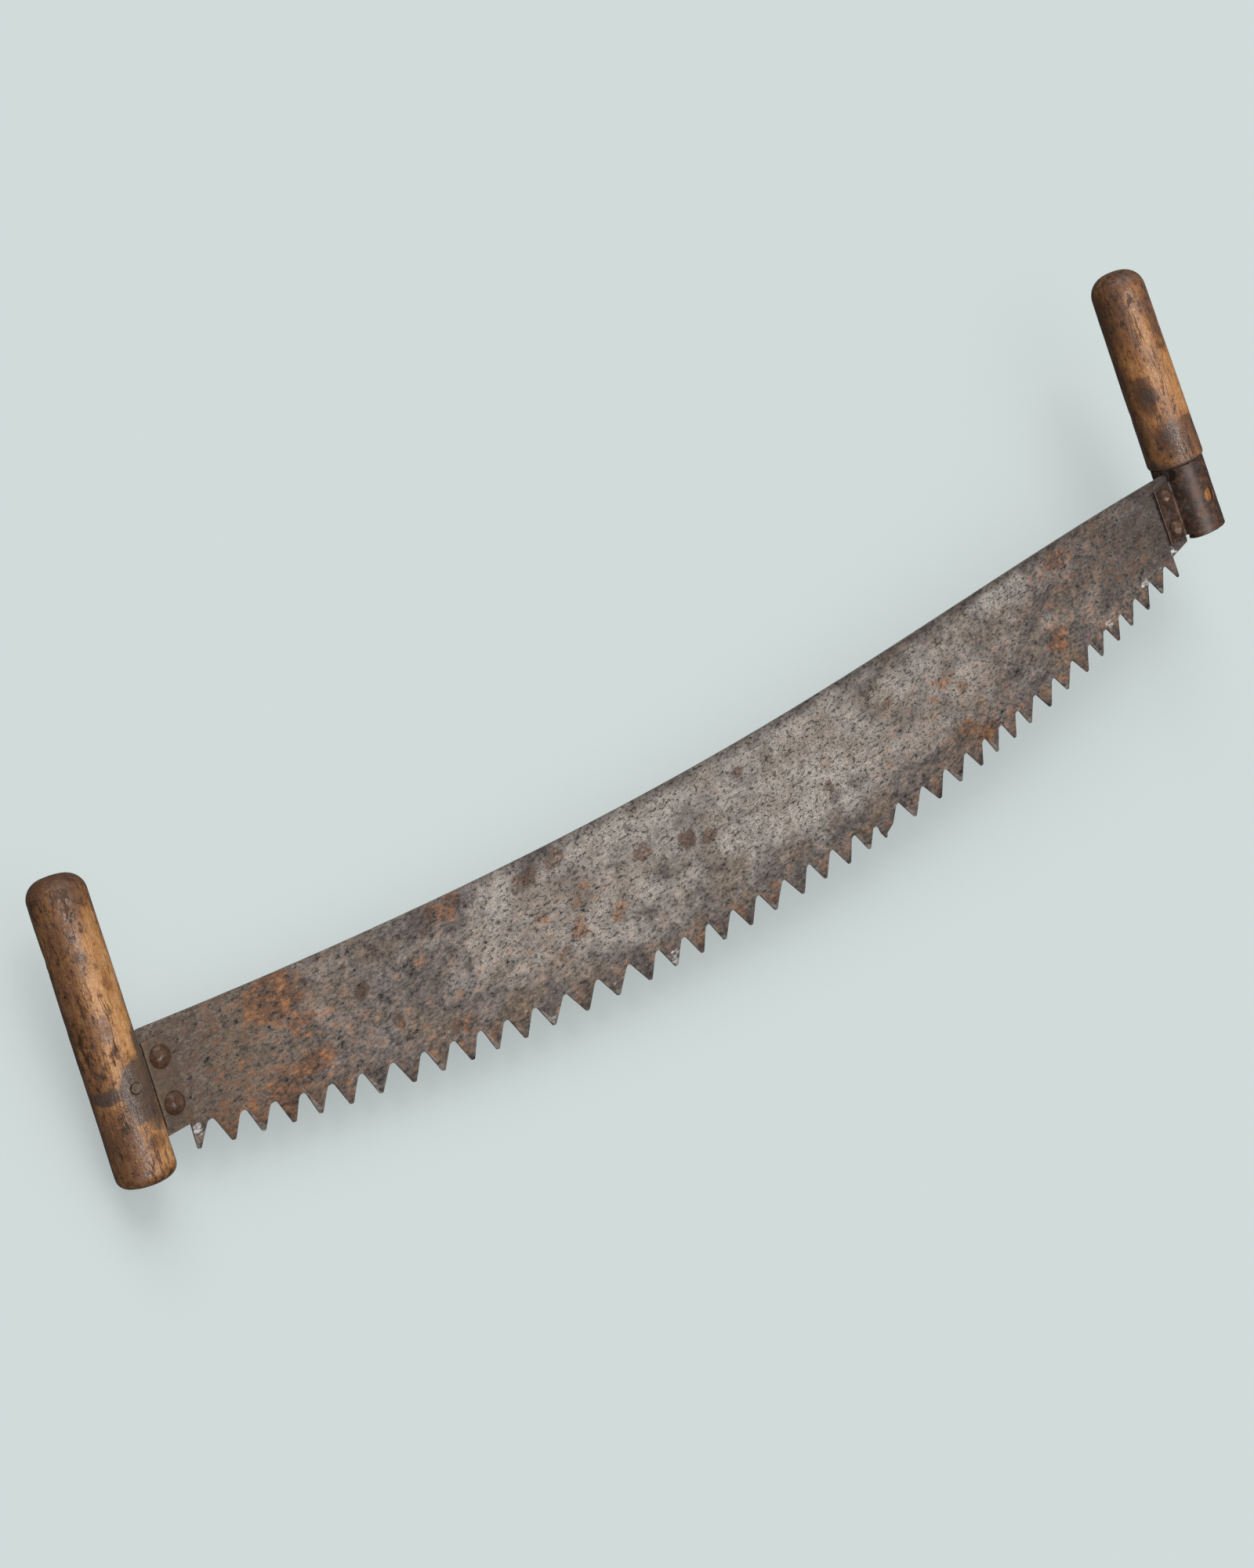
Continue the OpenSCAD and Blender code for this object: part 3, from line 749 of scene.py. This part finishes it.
def dress_node(node, material):
    """Gives a CAD node, whose shape is right, a finish."""
    mesh = frame["nodes"][node].data
    mesh.materials.clear()
    mesh.materials.append(material)


# ---------------------------------------------------------------- settings


def colour(name, description, default):
    """A colour setting."""
    return bpy.props.FloatVectorProperty(
        name=name, description=description, default=default,
        subtype="COLOR", size=3, min=0.0, max=1.0,
    )


def length(name, description, default):
    """A length setting, in metres."""
    return bpy.props.FloatProperty(
        name=name, description=description, default=default,
        subtype="DISTANCE", unit="LENGTH", min=0.0, precision=5,
    )


class SawColours(bpy.types.PropertyGroup):
    """Colours of the saw's finishes."""

    steel: colour("Steel", "Silvery middle of the plate", (0.52, 0.468, 0.418))
    # Also the painted highlight on the raised points of the silvery middle.
    crust_and_highlight: colour("Crust", "Pale crust on the silvery middle", (0.6, 0.54, 0.48))
    bare_steel: colour("Bare steel", "Fresh metal at filed spots", (0.85, 0.85, 0.83))
    patina: colour("Patina", "Grey-brown skin of the plate", (0.21, 0.178, 0.16))
    patina_dark: colour("Patina dark", "Darker skin of the plate", (0.13, 0.11, 0.1))
    patina_black: colour("Patina black", "Oil and scale stains", (0.035, 0.028, 0.028))
    rust_orange: colour("Rust orange", "Fresh rust", (0.26, 0.112, 0.042))
    rust_red: colour("Rust red", "Deep rust", (0.12, 0.055, 0.028))
    rust_tan: colour("Rust tan", "Thin tan film", (0.2, 0.145, 0.1))
    rust_brown: colour("Rust brown", "Old rust spots", (0.085, 0.046, 0.028))
    bar_deep: colour("Bar deep", "Grime in the left bar", (0.045, 0.02, 0.009))
    bar_smoked: colour("Bar smoked", "Left bar's dark polish", (0.21, 0.098, 0.052))
    bar_middle: colour("Bar middle", "Left bar's brown", (0.25, 0.106, 0.037))
    bar_light: colour("Bar light", "Left bar's gold", (0.5, 0.235, 0.078))
    bar_pale: colour("Bar pale", "Left bar's worn ridges", (0.62, 0.38, 0.2))
    grip_deep: colour("Grip deep", "Grime in the right grip", (0.052, 0.026, 0.015))
    grip_smoked: colour("Grip smoked", "Right grip's dark polish", (0.18, 0.088, 0.052))
    grip_middle: colour("Grip middle", "Right grip's brown", (0.25, 0.106, 0.041))
    grip_light: colour("Grip light", "Right grip's gold", (0.49, 0.215, 0.073))
    grip_pale: colour("Grip pale", "Right grip's worn ridges", (0.62, 0.36, 0.17))
    # Also the painted shadow on the grip's tenon inside the socket.
    iron_stain_and_shade: colour("Iron stain", "Wood blackened by iron", (0.075, 0.055, 0.046))
    iron_dark: colour("Iron dark", "Scale on the fittings", (0.032, 0.018, 0.012))
    iron_brown: colour("Iron brown", "Fittings' red-brown rust", (0.08, 0.04, 0.026))
    iron_grey: colour("Iron grey", "Fittings' grey scale", (0.058, 0.047, 0.043))
    iron_orange: colour("Iron orange", "Fittings' orange flecks", (0.165, 0.076, 0.036))
    iron_worn: colour("Iron worn", "Rubbed edges", (0.3, 0.25, 0.21))


class SawWear(bpy.types.PropertyGroup):
    """How finely the pieces are meshed and how deep their wear goes."""

    wood_mesh: length("Wood mesh", "Mesh size of the two handles", 0.8 * MM)
    sheet_mesh: length("Sheet mesh", "Mesh size of the socket", 0.55 * MM)
    plate_mesh: length("Plate mesh", "Mesh size of the cheek plates", 0.45 * MM)
    rivet_mesh: length("Rivet mesh", "Mesh size of the rivets", 0.32 * MM)
    wood_wear: length("Wood wear", "Depth of the hollows worn in the handles", 0.5 * MM)
    wood_knock: length("Wood knocks", "Depth of the deepest dent in the handles", 0.45 * MM)
    iron_wear: length("Iron wear", "Depth of the rust hollows in the fittings", 0.22 * MM)
    iron_knock: length("Iron knocks", "Depth of the deepest dent in the fittings", 0.35 * MM)
    pin_knock: length("Pin knocks", "Depth of the deepest dent in the pin", 0.15 * MM)
    hammer_flat: length("Hammer flats", "Depth of the flats on the rivets", 0.5 * MM)


class SawStage(bpy.types.PropertyGroup):
    """Floor, light and camera."""

    floor_colour: colour("Floor", "Colour of the floor", (0.596, 0.663, 0.658))
    floor_fall: bpy.props.FloatVectorProperty(
        name="Floor fall", size=2, default=(0.04, 0.17),
        description="How far the floor falls along and across the saw for each unit of length",
    )
    sky_high: colour("Light side", "Soft light from above and behind", (0.36, 0.36, 0.36))
    sky_low: colour("Shade side", "Soft light from the other side", (0.1, 0.1, 0.1))
    sky_from: bpy.props.FloatVectorProperty(
        name="Sky from", description="Direction towards the brightest part of the soft light",
        default=(0.0, 0.6, 0.8), subtype="DIRECTION",
    )
    key_strength: bpy.props.FloatProperty(
        name="Key light", description="Strength of the main light", default=1.25, min=0.0
    )
    side_strength: bpy.props.FloatProperty(
        name="Side light", description="Strength of the light that rounds the handles",
        default=1.95, min=0.0,
    )
    side_from: bpy.props.FloatVectorProperty(
        name="Side from", description="Direction towards the side light",
        default=(-0.2, -0.2, 0.94), subtype="DIRECTION",
    )
    key_spread: bpy.props.FloatProperty(
        name="Key spread", description="How wide the main light is seen from the saw",
        default=math.radians(46.0), subtype="ANGLE", unit="ROTATION",
    )
    side_spread: bpy.props.FloatProperty(
        name="Side spread", description="How wide the side light is seen from the saw",
        default=math.radians(20.0), subtype="ANGLE", unit="ROTATION",
    )
    key_from: bpy.props.FloatVectorProperty(
        name="Key from", description="Direction towards the main light",
        default=(0.05, 0.9, 0.45), subtype="DIRECTION",
    )
    camera_place: bpy.props.FloatVectorProperty(
        name="Camera place", description="Where the camera stands",
        default=(-1.4016, 0.4426, 1.5362), subtype="TRANSLATION", unit="LENGTH",
    )
    camera_turn: bpy.props.FloatVectorProperty(
        name="Camera turn", description="Which way the camera looks",
        default=tuple(math.radians(a) for a in (3.862, -42.085, -25.256)),
        subtype="EULER", unit="ROTATION",
    )
    camera_lens: bpy.props.FloatProperty(
        name="Camera lens", description="Focal length, in millimetres, with a 36 mm sensor",
        default=72.0, min=1.0,
    )


# ---------------------------------------------------------------- stage

# Half of the floor's width, in metres, and the cells along each of its sides.
FLOOR_HALF, FLOOR_CELLS = 8.0, 8

# The soft light rises from the first to the second of these cosines to its brightest part.
SKY_SHADE, SKY_LIGHT = -0.2, 0.95

# The width of the camera's sensor, in millimetres.
SENSOR_WIDTH = 36.0


def lay_floor(scene, stage):
    """A wide pale sheet that touches the bar's foot and falls away to the right and the back."""
    foot = Vector((BAR_FOOT.x, BAR_FOOT.y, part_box("left_handle")[0].z))
    sheet = bmesh.new()
    cells = {"x_segments": FLOOR_CELLS, "y_segments": FLOOR_CELLS}
    bmesh.ops.create_grid(sheet, size=FLOOR_HALF, **cells)
    for corner in sheet.verts:
        away = corner.co - foot
        corner.co.z = foot.z - away.x * stage.floor_fall[0] - away.y * stage.floor_fall[1]
    mesh = bpy.data.meshes.new("floor")
    sheet.to_mesh(mesh)
    sheet.free()
    mesh.materials.append(floor_paper(stage))
    floor = bpy.data.objects.new("floor", mesh)
    floor.visible_diffuse = False
    floor.visible_glossy = False
    scene.collection.objects.link(floor)


def add_lamp(scene, name, strength, spread, towards):
    """A distant lamp, `spread` wide as seen from the saw."""
    lamp = bpy.data.lights.new(name, "SUN")
    lamp.energy = strength
    lamp.angle = spread
    holder = bpy.data.objects.new(name, lamp)
    holder.rotation_euler = Vector(towards).to_track_quat("Z", "Y").to_euler()
    scene.collection.objects.link(holder)
    return lamp


def set_light(scene, stage):
    """A wide key, a shadowless side light and a sky that is brighter on the key's side."""
    add_lamp(scene, "key", stage.key_strength, stage.key_spread, stage.key_from)
    side = add_lamp(scene, "side", stage.side_strength, stage.side_spread, stage.side_from)
    side.use_shadow = False
    world = bpy.data.worlds.new("studio")
    world.use_nodes = True
    scene.world = world
    sky = NodeTree(world.node_tree)
    facing = sky.node("ShaderNodeTexCoord", {}, {}, "Generated")
    brightest = tuple(Vector(stage.sky_from).normalized())
    lit = sky.vector("DOT_PRODUCT", facing, brightest).band(SKY_SHADE, SKY_LIGHT)
    tone = sky.mix(lit, tuple(stage.sky_low), tuple(stage.sky_high))
    world.node_tree.links.new(tone.socket, world.node_tree.nodes["Background"].inputs["Color"])


# ---------------------------------------------------------------- operators

WOOD_SHADES = ("deep", "smoked", "middle", "light", "pale")


def wood_tones(colours, handle):
    """The colours of one handle's wood, from grimy to worn pale."""
    return tuple(getattr(colours, f"{handle}_{shade}") for shade in WOOD_SHADES)


class SAW_OT_blade(bpy.types.Operator):
    """Give the blade its pitted and rusted steel"""

    bl_idname = "saw.blade"
    bl_label = "Blade"

    def execute(self, context):
        dress_node("blade", blade_steel(context.scene.saw_colours))
        return {"FINISHED"}


class SAW_OT_bar(bpy.types.Operator):
    """Make the worn left bar and its pin"""

    bl_idname = "saw.bar"
    bl_label = "Left bar and pin"

    def execute(self, context):
        colours, wear = context.scene.saw_colours, context.scene.saw_wear
        tones = wood_tones(colours, "bar")
        marks = (BAR_DARK_AND_SHADE, BAR_GOLD, BAR_STAIN)
        wood = handle_wood("bar_wood", tones, colours.iron_stain_and_shade, BAR_FOOT, BAR_UP, marks)
        bar = remeshed("left_handle", "left_bar", wear.wood_mesh, WOOD_EASING)
        waves = [Wave(0.045, wear.wood_wear, 1.0), Wave(0.011, 0.4 * wear.wood_wear, 2.0)]
        wear_down(bar, waves, Knocks(60, 11, WOOD_DENTS, wear.wood_knock))
        fit_piece(bar, "left_handle", "saw", wood)
        pin = remeshed("left_handle_pin", "bar_pin", wear.rivet_mesh, RIVET_EASING)
        # The pin is swollen by rust, not worn, so its waves go outwards.
        waves = [Wave(0.003, -wear.iron_wear, 4.0)]
        wear_down(pin, waves, Knocks(10, 12, PIN_DENTS, wear.pin_knock))
        stained = rusted_iron("pin_iron", colours, [], 0.2, (0.5, colours.rust_tan))
        fit_piece(pin, "left_handle_pin", "saw", stained)
        return {"FINISHED"}


class SAW_OT_plates(bpy.types.Operator):
    """Forge the two cheek plates on the blade's left end"""

    bl_idname = "saw.plates"
    bl_label = "Cheek plates"

    def execute(self, context):
        colours, wear = context.scene.saw_colours, context.scene.saw_wear
        iron = rusted_iron("plate_iron", colours, [], 0.0, (0.4, colours.rust_tan))
        for seed, side in enumerate(("front", "back")):
            plate = remeshed(f"left_{side}_plate", f"{side}_cheek", wear.plate_mesh, PLATE_EASING)
            fine = Wave(0.003, 0.5 * wear.iron_wear, 5.0)
            waves = [Wave(0.009, wear.iron_wear, 3.0 + seed), fine]
            wear_down(plate, waves, Knocks(40, 21 + seed, PLATE_DENTS, wear.iron_knock))
            fit_piece(plate, f"left_{side}_plate", "saw", iron)
        return {"FINISHED"}


class SAW_OT_socket(bpy.types.Operator):
    """Make the worn right socket"""

    bl_idname = "saw.socket"
    bl_label = "Socket"

    def execute(self, context):
        colours, wear = context.scene.saw_colours, context.scene.saw_wear
        low, high = (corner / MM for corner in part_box("right_socket"))
        middle = (low + high) * 0.5
        # Rubbed grey, partly a painted sheen: the tube's lower end in front, and its upper end.
        rubbed_and_sheen = [
            ((middle.x + 2.0, low.y + 8.0, high.z), (20.0, 14.0, 22.0), 0.3),
            ((middle.x - 8.0, high.y, high.z - 10.0), (16.0, 6.0, 22.0), 0.4),
        ]
        iron = rusted_iron("socket_iron", colours, rubbed_and_sheen, 0.16)
        socket = remeshed("right_socket", "socket", wear.sheet_mesh, SOCKET_EASING)
        waves = [Wave(0.012, wear.iron_wear, 7.0), Wave(0.004, 0.5 * wear.iron_wear, 8.0)]
        wear_down(socket, waves, Knocks(70, 31, SOCKET_DENTS, wear.iron_knock))
        fit_piece(socket, "right_socket", "saw", iron)
        return {"FINISHED"}


class SAW_OT_rivets(bpy.types.Operator):
    """Hammer the four rivets"""

    bl_idname = "saw.rivets"
    bl_label = "Rivets"

    def execute(self, context):
        colours, wear = context.scene.saw_colours, context.scene.saw_wear
        iron = rusted_iron("rivet_iron", colours, [], 0.24, (0.3, colours.iron_orange))
        ends = ("left_upper", "left_lower", "right_upper", "right_lower")
        for seed, end in enumerate(ends):
            node = f"{end}_rivet"
            low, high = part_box(node)
            rivet = remeshed(node, f"{end}_head", wear.rivet_mesh, RIVET_EASING)
            hammer(rivet, np.array((low + high) * 0.5), 41 + seed, wear.hammer_flat)
            waves = [Wave(0.004, 0.6 * wear.iron_wear, 9.0 + seed)]
            wear_down(rivet, waves, Knocks(12, 51 + seed, RIVET_DENTS, wear.iron_knock))
            fit_piece(rivet, node, "saw", iron)
        return {"FINISHED"}


class SAW_OT_grip(bpy.types.Operator):
    """Make the worn right grip"""

    bl_idname = "saw.grip"
    bl_label = "Right grip"

    def execute(self, context):
        colours, wear = context.scene.saw_colours, context.scene.saw_wear
        tones = wood_tones(colours, "grip")
        marks = (GRIP_DARK_AND_SHADE, GRIP_GOLD, GRIP_STAIN_AND_SHADE)
        origin = grip_shoulder()
        wood = handle_wood("grip_wood", tones, colours.iron_stain_and_shade, origin, GRIP_UP, marks)
        grip = remeshed("right_grip", "grip", wear.wood_mesh, WOOD_EASING)
        waves = [Wave(0.05, wear.wood_wear, 13.0), Wave(0.012, 0.4 * wear.wood_wear, 14.0)]
        wear_down(grip, waves, Knocks(70, 61, WOOD_DENTS, wear.wood_knock))
        fit_piece(grip, "right_grip", "grip", wood)
        return {"FINISHED"}


class SAW_OT_stage(bpy.types.Operator):
    """Lay the floor, set the light and the camera"""

    bl_idname = "saw.stage"
    bl_label = "Stage"

    def execute(self, context):
        scene, stage = context.scene, context.scene.saw_stage
        lay_floor(scene, stage)
        set_light(scene, stage)
        lens = bpy.data.cameras.new("camera")
        lens.lens = stage.camera_lens
        lens.sensor_width = SENSOR_WIDTH
        camera = bpy.data.objects.new("camera", lens)
        camera.location = stage.camera_place
        camera.rotation_euler = stage.camera_turn
        scene.collection.objects.link(camera)
        scene.camera = camera
        scene.view_settings.view_transform = "Standard"
        return {"FINISHED"}


OPERATORS = (
    SAW_OT_blade, SAW_OT_bar, SAW_OT_plates, SAW_OT_socket, SAW_OT_rivets, SAW_OT_grip,
    SAW_OT_stage,
)


class SAW_PT_panel(bpy.types.Panel):
    """The saw's operators and settings"""

    bl_idname = "SAW_PT_panel"
    bl_label = "Crosscut saw"
    bl_space_type = "VIEW_3D"
    bl_region_type = "UI"
    bl_category = "Crosscut saw"

    def draw(self, context):
        for operator in OPERATORS:
            self.layout.operator(operator.bl_idname)
        scene = context.scene
        for group in (scene.saw_wear, scene.saw_colours, scene.saw_stage):
            box = self.layout.box()
            for name in group.bl_rna.properties.keys():
                if name not in {"name", "rna_type"}:
                    box.prop(group, name)


GROUPS = {"saw_colours": SawColours, "saw_wear": SawWear, "saw_stage": SawStage}


def register():
    """Adds the settings, the operators and the panel to Blender."""
    for made in (*GROUPS.values(), *OPERATORS, SAW_PT_panel):
        bpy.utils.register_class(made)
    for name, group in GROUPS.items():
        setattr(bpy.types.Scene, name, bpy.props.PointerProperty(type=group))


def unregister():
    """Takes them out again."""
    for name in GROUPS:
        delattr(bpy.types.Scene, name)
    for made in (SAW_PT_panel, *reversed(OPERATORS), *reversed(GROUPS.values())):
        bpy.utils.unregister_class(made)


def main():
    """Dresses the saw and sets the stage."""
    register()
    bpy.ops.saw.blade()
    bpy.ops.saw.bar()
    bpy.ops.saw.plates()
    bpy.ops.saw.socket()
    bpy.ops.saw.rivets()
    bpy.ops.saw.grip()
    bpy.ops.saw.stage()


if __name__ == "__main__":
    main()
